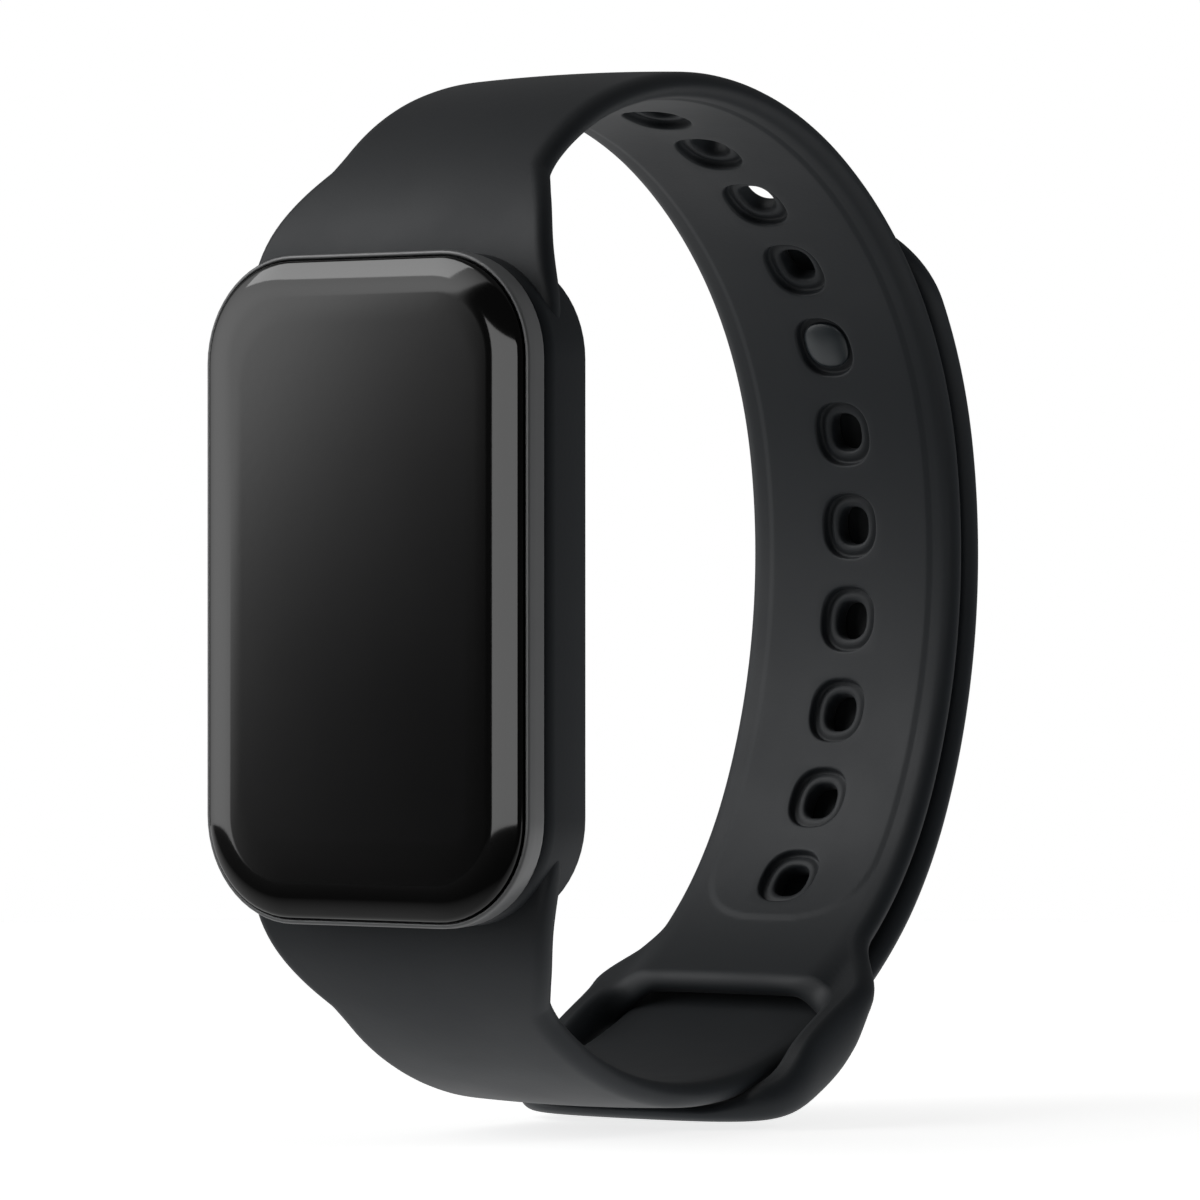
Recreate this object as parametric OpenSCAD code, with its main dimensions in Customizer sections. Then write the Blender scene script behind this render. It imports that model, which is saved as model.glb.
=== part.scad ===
// Fitness tracker band: a touch screen module held in a soft one-piece wrist strap.
// Origin at the middle of the wrist opening. X runs across the strap, the screen faces -Y, +Z is up.

/* [Tracker module] */
// Width of the housing rim
body_w = 25.4; // [24.8:0.1:26]
// Height of the housing rim
body_h = 42.3; // [41.8:0.1:43]
// Corner radius of the housing rim
body_r = 6.8; // [6.2:0.1:7.2]
// Distance of the glass from the middle of the wrist opening
glass_y = -27; // [-27.5:0.1:-26.8]
// Thickness of the cover glass
glass_t = 1.4; // [1.3:0.05:1.5]

/* [Strap] */
// Width of the strap round the wrist
strap_w = 16.8; // [16:0.1:17]
// Width of the strap where it leaves the cradle
neck_w = 22; // [20:0.1:22.4]
// Thickness of the strap
strap_t = 1.85; // [1.6:0.05:1.9]
// Gap between the two layers at the back of the wrist
layer_gap = 0.3; // [0.3:0.05:0.5]
// Number of adjustment holes
hole_count = 11; // [8:1:11]
// Spacing of the adjustment holes
hole_pitch = 6.6; // [6.4:0.1:6.8]
// Radius of each adjustment hole
hole_r = 1.2; // [1.1:0.05:1.3]
// The hole that holds the stud, counted from the keeper loop
stud_hole = 7; // [6:1:7]

/* [Battery and motor] */
// Thickness of the battery cell
battery_t = 3; // [2.4:0.1:3.1]
// Radius of the vibration motor
motor_r = 3.5; // [3.2:0.1:3.6]

/* [Hidden] */
$fn = 48;
eps = 0.01;

// Levels of the module, from the glass back towards the wrist
rim_front = glass_y + 0.9;
seat_y = glass_y + glass_t + 0.2;
rim_back = glass_y + 2.9;
tub_back = glass_y + 6.7;
cover_in = tub_back + 0.3;
cover_step = cover_in + 0.5;
cover_back = cover_in + 1.6;
window_back = cover_back + 0.8;

// Outlines of the module
glass_gap = 0.4;
waist_in = 1.4;
waist_w = body_w - 2 * waist_in;
waist_h = body_h - 2 * waist_in + 0.3;
waist_r = body_r - waist_in;
wall = 1;
pad_in = 1.1;

// The cradle that grips the waist
cradle_front = rim_back + 0.05;
cradle_back = glass_y + 7.3;
cradle_in = 0.1;
cradle_fit = 0.15;
lip_y = glass_y + 4.6;
lip_t = 1;
lip_bite = 0.35;

// Middle line of the strap: it starts straight up from the cradle, then turns through arcs [radius, degrees]
half_t = strap_t / 2;
path_y = glass_y + 4 + half_t;
path_z = 19.5;
upper_arcs = [[6.1, -34], [21.1, -37.5], [31.6, -67.5], [26.1, -30.5], [38.1, -37], [27.6, -40]];
lower_arcs = [[6.1, -34.5], [21.1, -30], [27.3, -25], [33.7, -38.8]];
root_len = 2;
arc_steps = 14;
first_hole_s = 100.1;
loop_start_s = 108.2;
hinge_s = 105.3;
hinge_gap = 0.05;
tail_tip_s = 51.2;

// Stud and its recess
recess_r = 2.1;
recess_depth = 0.95;
stud_clear = 0.08;
stud_head_r = 1.8;
stud_cap_r = 2.5;
stud_cap_t = 0.6;

// Keeper loop: middle points and radii of its bar, seen from the side
loop_w = strap_w + 4.4;
slot_w = strap_w + 0.5;
bar = [[15.3, -26.6, 1.1], [12.9, -29.1, 1.9], [9, -32.1, 1.6], [5.4, -34.15, 0.75], [2.6, -34.3, 0.65]];
bar_end = 1.95;
bar_len = 2.4;
slot_from = 5;

// Inside of the module
display_w = 19.2;
display_h = 35.4;
display_t = 1.2;
display_r = 3;
display_z = 0.6;
flex_t = 0.15;
flex_w = 10;
board_w = 19.6;
board_z0 = 3.6;
board_z1 = 18.4;
board_y = glass_y + 4.6;
board_t = 0.8;
board_fit = 0.3;
battery_w = 19;
battery_r = 2;
battery_z0 = -18;
battery_z1 = 1;
battery_back = cover_in - 0.6;
tab_h = 2.2;
motor_x = -6;
motor_z = 14.6;
motor_t = 2.1;
motor_wall = 0.2;
shaft_r = 0.4;
shaft_clear = 0.05;
screw_x = 8.2;
screw_z = [5.2, 16.5];
screw_r = 0.6;
screw_head_r = 1.1;
screw_head_t = 0.5;
boss_r = 1.2;
sensor_r = 5;
contact_r = 0.9;
contact_x = 2;
contact_z = -12.5;
can_x = 3.4;
can_z = 11;
can_w = 9;
can_h = 8.4;
can_t = 1.1;

// A point [y, z, heading] one arc further on
function turned(p, arc) = let (s = sign(arc[1]), g = p[2] + arc[1])
    [p[0] + s * arc[0] * (sin(g) - sin(p[2])), p[1] + s * arc[0] * (cos(p[2]) - cos(g)), g];

// All the points of a chain of arcs
function chain(p, arcs, i = 0) = i == len(arcs) ? [p] :
    concat([for (k = [0:arc_steps - 1]) turned(p, [arcs[i][0], arcs[i][1] * k / arc_steps])],
        chain(turned(p, arcs[i]), arcs, i + 1));

// The point at a distance s along a chain of arcs
function along(s, p, arcs, i = 0) = let (len_i = arcs[i][0] * abs(arcs[i][1]) * PI / 180)
    s <= len_i || i == len(arcs) - 1 ? turned(p, [arcs[i][0], arcs[i][1] * s / len_i]) :
    along(s - len_i, turned(p, arcs[i]), arcs, i + 1);

// A point moved away from the wrist by d
function lifted(p, d) = [p[0] - d * sin(p[2]), p[1] + d * cos(p[2])];

path_start = [path_y, path_z, 90];
upper_path = chain(path_start, upper_arcs);
lower_path = chain(path_start, lower_arcs);
function upper_at(s) = along(s, path_start, upper_arcs);

// Rounded rectangle standing up in X and Z, from y0 to y1
module slab(w, h, r, y0, y1, x = 0, z = 0) {
    translate([x, y1, z]) rotate([90, 0, 0]) linear_extrude(y1 - y0) {
        square([w - 2 * r, h], center = true);
        square([w, h - 2 * r], center = true);
        for (sx = [-1, 1], sz = [-1, 1]) translate([sx * (w / 2 - r), sz * (h / 2 - r)]) circle(r);
    }
}

// Plain block between two corners in X, Y and Z
module block(x, y, z) {
    translate([x[0], y[0], z[0]]) cube([x[1] - x[0], y[1] - y[0], z[1] - z[0]]);
}

// Round bar along Y
module rod(r, y0, y1, x = 0, z = 0) {
    translate([x, y1, z]) rotate([90, 0, 0]) cylinder(r = r, h = y1 - y0);
}

// Puts a flat shape drawn in Y and Z across the strap, w wide
module across(w) {
    rotate([90, 0, 90]) linear_extrude(w, center = true) children();
}

// A stretch of strap, from d0 to d1 off the middle line
module band(points, d0, d1) {
    across(neck_w) polygon(concat([for (p = points) lifted(p, d1)],
        [for (i = [len(points) - 1:-1:0]) lifted(points[i], d0)]));
}

// Round bar along the strap's own thickness at s, from d0 to d1 off the middle line
module peg(s, r, d0, d1) {
    p = upper_at(s);
    q = lifted(p, d0);
    translate([0, q[0], q[1]]) rotate([p[2], 0, 0]) cylinder(r = r, h = d1 - d0);
}

// Everything further along the strap than s
module past(s) {
    p = upper_at(s);
    translate([0, p[0], p[1]]) rotate([p[2], 0, 0]) translate([-30, 0, -60]) cube([60, 90, 70]);
}

// Front outline that narrows the strap from the cradle to its full run, for z from 0 up
module taper() {
    ease = function (z) let (t = max(0, min(1, (z - 20.5) / 7.5))) t * t * (3 - 2 * t);
    half = function (z) (neck_w + (strap_w - neck_w) * pow(ease(z), 0.8)) / 2;
    rows = [for (z = [16:1:28]) z];
    rotate([90, 0, 0]) linear_extrude(40) polygon(concat(
        [for (z = rows) [half(z), z]], [[strap_w / 2, 40], [-strap_w / 2, 40]],
        [for (i = [len(rows) - 1:-1:0]) [-half(rows[i]), rows[i]]]));
    translate([-strap_w / 2, -eps, -40]) cube([strap_w, 40, 80]);
}

module cradle_block(y0, y1) {
    slab(body_w - 2 * cradle_in, body_h - 2 * cradle_in, body_r - cradle_in, y0, y1);
}

// The run from the cradle out to the first point past the taper
module run_out(points) {
    root = [path_y, path_z - root_len, 90];
    difference() {
        intersection() {
            band(concat([root], points), -half_t, half_t);
            taper();
        }
        cradle_block(rim_front, cradle_back);
    }
}

module front_glass() {
    color("#101113") {
        slab(body_w - 2 * glass_gap, body_h - 2 * glass_gap, body_r - glass_gap, glass_y + 0.5, glass_y + glass_t);
        slab(body_w - 2.4, body_h - 2.4, body_r - 1.2, glass_y, glass_y + 0.5);
    }
}

module glass_adhesive() {
    color("#2a2a2a") difference() {
        slab(body_w - 1, body_h - 1, body_r - 0.5, glass_y + glass_t, seat_y);
        slab(body_w - 3.6, body_h - 3.6, body_r - 1.8, glass_y, seat_y + eps);
    }
}

module display_panel() {
    color("#16181a") slab(display_w, display_h, display_r, glass_y + glass_t, glass_y + glass_t + display_t, z = display_z);
}

module display_flex() {
    back = glass_y + glass_t + display_t;
    bend_r = 0.35;
    low = display_z - display_h / 2;
    color("#8a5a20") {
        block([-flex_w / 2, flex_w / 2], [back, back + flex_t], [low, low + 12]);
        translate([0, back + bend_r, low]) rotate([0, 90, 0]) rotate([0, 0, -90]) difference() {
            translate([0, 0, -flex_w / 2]) cylinder(r = bend_r, h = flex_w);
            translate([0, 0, -flex_w / 2 - eps]) cylinder(r = bend_r - flex_t, h = flex_w + 2 * eps);
            translate([-2, 0, -flex_w]) cube([4, 4, 2 * flex_w]);
        }
    }
}

module housing() {
    color("#4a4c4e") difference() {
        union() {
            slab(body_w, body_h, body_r, rim_front, rim_back);
            slab(waist_w, waist_h, waist_r, rim_back - eps, tub_back);
        }
        slab(body_w - 0.6, body_h - 0.6, body_r - 0.3, rim_front - eps, seat_y);
        slab(waist_w - 2 * wall, waist_h - 2 * wall, waist_r - wall, rim_front, tub_back + eps);
        difference() {
            slab(body_w, body_h, body_r, lip_y - lip_t / 2 - 0.1, lip_y + lip_t / 2 + 0.1);
            slab(waist_w - 0.8, waist_h - 0.8, waist_r - 0.4, lip_y - lip_t, lip_y + lip_t);
        }
    }
}

module back_cover() {
    color("#1c1d1e") {
        difference() {
            union() {
                slab(waist_w, waist_h, waist_r, cover_in, cover_step);
                slab(waist_w - 0.5, waist_h - 1.8, waist_r, cover_step - eps, cover_back - 0.35);
                slab(waist_w - pad_in, waist_h - 1.8 - pad_in, waist_r - 0.3, cover_step, cover_back);
            }
            rod(sensor_r, cover_in - eps, cover_back + eps);
            for (s = [-1, 1]) rod(contact_r, cover_in - eps, cover_back + eps, s * contact_x, contact_z);
        }
        for (z = screw_z) difference() {
            rod(boss_r, board_y + board_t, cover_in + eps, screw_x, z);
            rod(screw_r, board_y, cover_in - 0.4, screw_x, z);
        }
    }
}

module back_cover_seal() {
    color("#b04030") difference() {
        slab(waist_w - 0.4, waist_h - 0.4, waist_r - 0.2, tub_back, cover_in);
        slab(waist_w - 1.4, waist_h - 1.4, waist_r - 0.7, tub_back - eps, cover_in + eps);
    }
}

// Lens with a shallow dome that closes the sensor hole
module sensor_window() {
    dome_r = 16.1;
    color("#0b0b0d") rotate([-90, 0, 0]) rotate_extrude() intersection() {
        translate([0, window_back - dome_r]) circle(dome_r, $fn = 96);
        translate([0, cover_in + 0.9]) square([sensor_r, 3]);
    }
}

module optical_barrier() {
    color("#222222") difference() {
        rod(sensor_r - 0.1, cover_in, cover_in + 0.9);
        for (x = [-2.9, 2.9]) block([x - 1, x + 1], [cover_in - eps, cover_in + 1], [-1.2, 1.2]);
        block([-1.2, 1.2], [cover_in - eps, cover_in + 1], [-3.4, -1]);
        block([-1.2, 1.2], [cover_in - eps, cover_in + 1], [1, 3.4]);
    }
}

module sensor_board() {
    color("#1f5f3a") rod(sensor_r + 0.6, cover_in - 0.45, cover_in);
}

module sensor_leds() {
    color("#7dd07a") for (x = [-2.9, 2.9]) block([x - 0.8, x + 0.8], [cover_in, cover_in + 0.5], [-1, 1]);
}

module photodiodes() {
    color("#3c3f55") for (z = [-2.2, 2.2]) block([-1, 1], [cover_in, cover_in + 0.4], [z - 1, z + 1]);
}

module charging_contacts() {
    color("#c9a24a") for (s = [-1, 1]) rod(contact_r, cover_in, cover_back + 0.05, s * contact_x, contact_z);
}

module main_board() {
    notch = motor_r + 0.5;
    color("#1d5a3c") difference() {
        intersection() {
            block([-board_w / 2, board_w / 2], [board_y, board_y + board_t], [board_z0, board_z1]);
            slab(waist_w - 2 * wall - board_fit, waist_h - 2 * wall - board_fit, waist_r - wall - board_fit / 2,
                board_y - eps, board_y + board_t + eps);
        }
        rod(notch, board_y - eps, board_y + board_t + eps, motor_x, motor_z);
        block([-board_w, motor_x], [board_y - 1, board_y + 2], [motor_z - notch, board_z1 + 1]);
        block([-board_w, motor_x + notch], [board_y - 1, board_y + 2], [motor_z, board_z1 + 1]);
        for (z = screw_z) rod(screw_r + 0.05, board_y - eps, board_y + board_t + eps, screw_x, z);
    }
}

// A chip on the front of the main board
module chip(w, h, t, x, z) {
    block([x - w / 2, x + w / 2], [board_y - t, board_y], [z - h / 2, z + h / 2]);
}

module processor_chip() { color("#26282a") chip(4.4, 4.4, 0.75, can_x - 1.2, can_z + 1.2); }
module memory_chip() { color("#2c2e30") chip(3, 2.6, 0.6, can_x - 2, can_z - 2.7); }
module radio_chip() { color("#222426") chip(2.4, 2.4, 0.55, can_x + 2.6, can_z - 2.4); }
module power_chip() { color("#2a2c2e") chip(2.6, 2.6, 0.6, -7.4, board_z0 + 2.4); }
module motion_sensor() { color("#303234") chip(2.5, 3, 0.85, -3.4, board_z0 + 2.4); }

module shield_can() {
    skin = 0.15;
    color("#b8babc") difference() {
        chip(can_w, can_h, can_t, can_x, can_z);
        translate([0, skin, 0]) chip(can_w - 2 * skin, can_h - 2 * skin, can_t, can_x, can_z);
    }
}

module board_screws() {
    color("#9a9c9e") for (z = screw_z) {
        rod(screw_head_r, board_y - screw_head_t, board_y, screw_x, z);
        rod(screw_r, board_y - eps, cover_in - 0.5, screw_x, z);
    }
}

module battery_cell() {
    color("#b9bcc0") slab(battery_w, battery_z1 - battery_z0, battery_r, battery_back - battery_t, battery_back,
        z = (battery_z0 + battery_z1) / 2);
}

module battery_pad() {
    color("#303030") difference() {
        block([-8.5, 8.5], [battery_back, cover_in], [battery_z0 + 0.8, battery_z1 - 0.6]);
        rod(sensor_r + 0.9, battery_back - eps, cover_in + eps);
        for (s = [-1, 1]) rod(contact_r + 0.3, battery_back - eps, cover_in + eps, s * contact_x, contact_z);
    }
}

module battery_tab() {
    color("#c98a2c") block([-6, 6], [battery_back - 1.8, battery_back - 1], [battery_z1, battery_z1 + tab_h]);
}

module motor_can() {
    color("#a4a7aa") difference() {
        rod(motor_r, cover_in - motor_t, cover_in, motor_x, motor_z);
        rod(motor_r - motor_wall, cover_in - motor_t + motor_wall, cover_in - motor_wall, motor_x, motor_z);
    }
}

module motor_shaft() {
    color("#d0d2d4") rod(shaft_r, cover_in - motor_t + motor_wall, cover_in - motor_wall, motor_x, motor_z);
}

// Half disc that hangs below its shaft, with a round hub
module motor_weight() {
    reach = motor_r - motor_wall - 0.35;
    color("#8a7a55") difference() {
        union() {
            rod(1.1, cover_in - motor_t + 0.5, cover_in - 0.5, motor_x, motor_z);
            difference() {
                rod(reach, cover_in - motor_t + 0.5, cover_in - 0.5, motor_x, motor_z);
                block([motor_x - 4, motor_x + 4], [cover_in - motor_t, cover_in], [motor_z + 0.2, motor_z + 5]);
            }
        }
        rod(shaft_r + shaft_clear, cover_in - motor_t, cover_in, motor_x, motor_z);
    }
}

module antenna() {
    color("#c8a060") block([-4.5, 5.5], [rim_back + 0.3, rim_back + 1.6],
        [waist_h / 2 - wall - 0.25, waist_h / 2 - wall]);
}

module strap_cradle() {
    color("#2f3234") difference() {
        cradle_block(cradle_front, cradle_back);
        slab(waist_w + 2 * cradle_fit, waist_h + 2 * cradle_fit, waist_r + cradle_fit, rim_front, cradle_back + eps);
    }
}

// Soft rib inside the cradle that snaps into the groove round the module
module cradle_lip() {
    grip = cradle_fit - lip_bite;
    color("#2f3234") difference() {
        slab(waist_w + 2 * cradle_fit, waist_h + 2 * cradle_fit, waist_r + cradle_fit,
            lip_y - lip_t / 2, lip_y + lip_t / 2);
        slab(waist_w + 2 * grip, waist_h + 2 * grip, waist_r + grip, lip_y - lip_t, lip_y + lip_t);
    }
}

module hole_strap() {
    points = [for (p = upper_path) if (p[2] > upper_at(loop_start_s)[2]) p];
    color("#34373a") difference() {
        run_out(concat(points, [upper_at(loop_start_s)]));
        for (i = [0:hole_count - 1]) {
            s = first_hole_s - i * hole_pitch;
            peg(s, hole_r, -half_t - 1, half_t + 1);
            peg(s, recess_r, -half_t - 1, -half_t + recess_depth);
        }
    }
}

// The ring that the tail is threaded through: a bowed bar cut open by a slot, and the strap's wide end
module keeper_loop() {
    corner = 3;
    color("#34373a") {
        difference() {
            intersection() {
                across(loop_w) for (i = [0:len(bar) - 2]) hull() for (k = [i, i + 1])
                    translate([bar[k][0], bar[k][1]]) circle(bar[k][2], $fn = 32);
                hull() for (s = [-1, 1], y = [bar_end + corner, 30])
                    translate([s * (loop_w / 2 - corner), y, -60]) cylinder(r = corner, h = 60, $fn = 32);
            }
            block([-slot_w / 2, slot_w / 2], [slot_from, 30], [-60, 0]);
        }
        intersection() {
            band([for (k = [0:4]) upper_at(loop_start_s + k * bar_len / 4)], -half_t, half_t);
            across(loop_w) square(90, center = true);
        }
    }
}

module lower_strap() {
    color("#34373a") intersection() {
        mirror([0, 0, 1]) run_out(lower_path);
        past(hinge_s + hinge_gap);
    }
}

module strap_tail() {
    s_round = tail_tip_s + strap_w / 2;
    tail_in = half_t + layer_gap;
    tail_out = tail_in + strap_t;
    tail_end = upper_at(hinge_s);
    stud_s = first_hole_s - (stud_hole - 1) * hole_pitch;
    points = [for (p = upper_path) if (p[2] < upper_at(tail_tip_s)[2] && p[2] > tail_end[2]) p];
    color("#34373a") difference() {
        intersection() {
            band(concat([upper_at(tail_tip_s)], points, [tail_end]), tail_in, tail_out);
            across(strap_w) square(90, center = true);
            union() {
                peg(s_round, strap_w / 2, tail_in - 3, tail_out + 3);
                past(s_round);
            }
        }
        peg(stud_s, hole_r - stud_clear, 0, tail_out + 1);
        peg(stud_s, stud_cap_r, tail_out - stud_cap_t, tail_out + 1);
    }
}

// Stud: a post through the strap, a dome on the wrist side and a flush cap on the outside
module clasp_stud() {
    stud_s = first_hole_s - (stud_hole - 1) * hole_pitch;
    tail_out = half_t + layer_gap + strap_t;
    dome_r = 2.25;
    floor_d = -half_t + recess_depth - 0.06;
    p = upper_at(stud_s);
    q = lifted(p, floor_d);
    color("#3a4046") {
        peg(stud_s, hole_r - stud_clear, floor_d - 0.1, tail_out - stud_cap_t + eps);
        peg(stud_s, stud_cap_r, tail_out - stud_cap_t, tail_out);
        translate([0, q[0], q[1]]) rotate([p[2], 0, 0]) intersection() {
            translate([0, 0, 1.35]) sphere(r = dome_r, $fn = 64);
            translate([0, 0, -2]) cylinder(r = stud_head_r, h = 2);
        }
    }
}

front_glass();
glass_adhesive();
display_panel();
display_flex();
housing();
back_cover();
back_cover_seal();
sensor_window();
optical_barrier();
sensor_board();
sensor_leds();
photodiodes();
charging_contacts();
main_board();
processor_chip();
memory_chip();
radio_chip();
power_chip();
motion_sensor();
shield_can();
board_screws();
battery_cell();
battery_pad();
battery_tab();
motor_can();
motor_shaft();
motor_weight();
antenna();
strap_cradle();
cradle_lip();
hole_strap();
keeper_loop();
lower_strap();
strap_tail();
clasp_stud();
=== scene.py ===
import math

import bmesh
import bpy
import numpy as np
from bpy.props import FloatProperty, FloatVectorProperty, IntProperty, PointerProperty
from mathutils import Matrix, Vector


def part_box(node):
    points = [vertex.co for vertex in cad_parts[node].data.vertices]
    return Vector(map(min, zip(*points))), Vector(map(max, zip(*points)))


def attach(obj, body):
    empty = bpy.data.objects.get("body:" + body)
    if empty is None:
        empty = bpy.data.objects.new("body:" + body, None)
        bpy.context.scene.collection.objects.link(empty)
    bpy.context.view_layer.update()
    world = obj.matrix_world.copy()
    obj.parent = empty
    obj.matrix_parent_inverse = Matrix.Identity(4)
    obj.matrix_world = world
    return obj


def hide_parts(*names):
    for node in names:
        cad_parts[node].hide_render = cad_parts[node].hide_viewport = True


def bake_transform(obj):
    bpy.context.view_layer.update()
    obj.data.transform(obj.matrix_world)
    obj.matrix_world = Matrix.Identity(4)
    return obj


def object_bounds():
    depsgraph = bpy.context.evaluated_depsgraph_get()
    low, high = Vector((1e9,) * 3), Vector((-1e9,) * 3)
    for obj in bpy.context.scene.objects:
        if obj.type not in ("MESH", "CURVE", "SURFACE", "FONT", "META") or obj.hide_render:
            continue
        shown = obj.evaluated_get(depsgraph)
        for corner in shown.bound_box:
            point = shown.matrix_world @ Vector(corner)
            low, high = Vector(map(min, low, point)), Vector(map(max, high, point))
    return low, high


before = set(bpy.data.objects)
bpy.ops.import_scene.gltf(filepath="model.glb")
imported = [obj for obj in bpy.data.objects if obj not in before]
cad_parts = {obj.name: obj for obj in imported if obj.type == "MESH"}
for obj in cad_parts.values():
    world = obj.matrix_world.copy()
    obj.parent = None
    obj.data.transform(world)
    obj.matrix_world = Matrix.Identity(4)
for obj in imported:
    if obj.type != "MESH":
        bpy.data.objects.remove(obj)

bl_info = {
    "name": "Fitness tracker band",
    "version": (1, 0, 0),
    "blender": (4, 5, 0),
    "location": "View3D > Sidebar > Band",
    "description": "Builds the looks of a fitness tracker with a soft one-piece strap round its packed frame",
    "category": "Mesh",
}

CAD_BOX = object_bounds()
MM = 0.001

# Shapes are in millimetres, and the studio's lights and camera in metres. A place on the strap is x across it, s
# along it from the cradle, and d away from the wrist off its middle line. The middle lines are arcs (radius, degrees)
# that start straight up from the cradle.
UPPER_ARCS = ((6.1, 34), (21.1, 37.5), (31.6, 67.5), (26.1, 30.5), (38.1, 37), (27.6, 70))
LOWER_ARCS = ((6.1, 34.5), (21.1, 30), (27.3, 25), (33.7, 38.8), (29.75, 25.2), (40.25, 37), (28.25, 30.5),
              (33.75, 20))
STUD_HOLE = 6                      # holes between the loop's end and the one that the stud is in


def node_box(name):
    """Lowest and highest corner of a CAD node in millimetres."""
    low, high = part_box(name)
    return np.array(low) / MM, np.array(high) / MM


RIM_LOW, RIM_HIGH = node_box("housing")
GLASS_LOW, GLASS_HIGH = node_box("front_glass")
CRADLE_LOW, CRADLE_HIGH = node_box("strap_cradle")
COVER_HIGH = node_box("back_cover")[1]


# ---------------------------------------------------------------- sizes and colours

def length(name, text, default, low=0.0, high=200.0):
    """A size property in millimetres."""
    return FloatProperty(name=name, description=text, default=default, min=low, max=high, precision=3)


def colour(name, text, hex_value):
    """A colour property; its default is an sRGB hex value turned to linear."""
    return FloatVectorProperty(name=name, description=text, default=linear(hex_value), size=3,
                               subtype="COLOR", min=0.0, max=1.0)


def linear(hex_value):
    """Linear red, green and blue of an sRGB hex value such as "#34373a"."""
    parts = [int(hex_value[i:i + 2], 16) / 255 for i in (1, 3, 5)]
    return tuple(p / 12.92 if p <= 0.04045 else ((p + 0.055) / 1.055) ** 2.4 for p in parts)


class BandSizes(bpy.types.PropertyGroup):
    """Sizes in millimetres that a user would change."""
    strap_half: length("Strap half width", "Half the width of the strap round the wrist", 8.4)
    root_half: length("Root half width", "Half the width where the strap grows out of the cradle", 12.5)
    loop_half: length("Loop half width", "Half the width of the keeper loop", 11.25)
    thickness: length("Strap thickness", "Thickness of the strap", 1.85)
    layer_gap: length("Layer gap", "Gap between the two layers of strap", 0.3)
    edge: length("Edge rounding", "How far in from the side the strap's edges are rounded", 1.15)
    pitch: length("Hole pitch", "Spacing of the adjustment holes", 6.6)
    first_hole: length("First hole", "Run of the strap at the hole nearest the loop", 100.1)
    hole_count: IntProperty(name="Holes", description="Number of adjustment holes", default=11, min=1, max=11)
    hole_half: length("Hole half size", "Half the size of each hole", 1.17)
    recess_half: length("Recess half size", "Half the size of the recess round each hole", 2.12)
    rim_radius: length("Rim corner radius", "Corner radius of the housing rim", 6.8)
    glass_curve: length("Glass edge curve", "Width of the curved edge of the cover glass", 2.3)


class BandColours(bpy.types.PropertyGroup):
    """Colours of the materials."""
    silicone: colour("Silicone", "Dyed silicone rubber of the strap", "#1f2327")
    glass: colour("Cover glass", "Black print behind the cover glass", "#030303")
    display: colour("Display", "Unlit display behind the glass", "#0c0c0d")
    rim: colour("Rim", "Satin plastic of the housing rim", "#6c6d6e")
    cover: colour("Back cover", "Satin plastic of the back cover", "#111213")
    stud: colour("Stud", "Smooth hard plastic of the stud", "#282f33")


class StudioSettings(bpy.types.PropertyGroup):
    """Camera and light settings."""
    azimuth: FloatProperty(name="Azimuth", description="Camera's angle round the band", default=math.radians(35.3),
                           subtype="ANGLE", unit="ROTATION")
    distance: FloatProperty(name="Distance", description="Camera's distance from the band", default=0.463,
                            subtype="DISTANCE", unit="LENGTH")
    lens: FloatProperty(name="Lens", description="Focal length in millimetres", default=211.2)
    aim_side: length("Aim to the side", "How far right of the middle the camera looks", -0.33, -50)
    aim_height: length("Aim height", "Height that the camera looks at", -0.66, -50)


# ---------------------------------------------------------------- shapes

def smooth(low, high, value):
    """Goes from 0 at low to 1 at high along 3t^2 - 2t^3."""
    t = np.clip((np.asarray(value, float) - low) / (high - low), 0, 1)
    return t * t * (3 - 2 * t)


class Run:
    """The middle line of a stretch of strap. Its heading falls by each arc's degrees over that arc's length and is
    then averaged over a few millimetres, so that the bend changes gently; the line is the sum of its small steps."""

    STEP = 0.05
    LEAD = 8.0
    EASE = 6.0

    def __init__(self, arcs, flip):
        lengths = [radius * math.radians(turn) for radius, turn in arcs]
        ends = np.concatenate([[0], np.cumsum(lengths)])
        turns = np.concatenate([[0], np.cumsum([turn for _, turn in arcs])])
        self.s = np.arange(-self.LEAD, ends[-1], self.STEP)
        heading = 90 - np.interp(self.s, ends, turns)
        width = int(self.EASE / self.STEP)
        padded = np.concatenate([np.full(width, heading[0]), heading, np.full(width, heading[-1])])
        kernel = np.hanning(width + 2)
        heading = np.convolve(padded, kernel / kernel.sum(), "same")[width:-width]
        self.h = np.radians(heading)
        self.y = PATH_Y + self._sum(np.cos(self.h))
        self.z = PATH_Z + self._sum(np.sin(self.h))
        self.flip = -1 if flip else 1

    def _sum(self, slope):
        """Running sum of the slope over the steps, set to 0 at the run's start."""
        steps = np.concatenate([[0], np.cumsum((slope[1:] + slope[:-1]) / 2 * self.STEP)])
        return steps - np.interp(0, self.s, steps)

    def place(self, x, s, d):
        """Points x across the strap, s along it and d away from the wrist off the middle line."""
        h = np.interp(s, self.s, self.h)
        y = np.interp(s, self.s, self.y) - d * np.sin(h)
        z = np.interp(s, self.s, self.z) + d * np.cos(h)
        return np.stack([x + 0 * s, y, self.flip * z], axis=-1)


PATH_Y, PATH_Z = GLASS_LOW[1] + 4 + 1.85 / 2, 19.5
UPPER = Run(UPPER_ARCS, False)
LOWER = Run(LOWER_ARCS, True)


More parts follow.
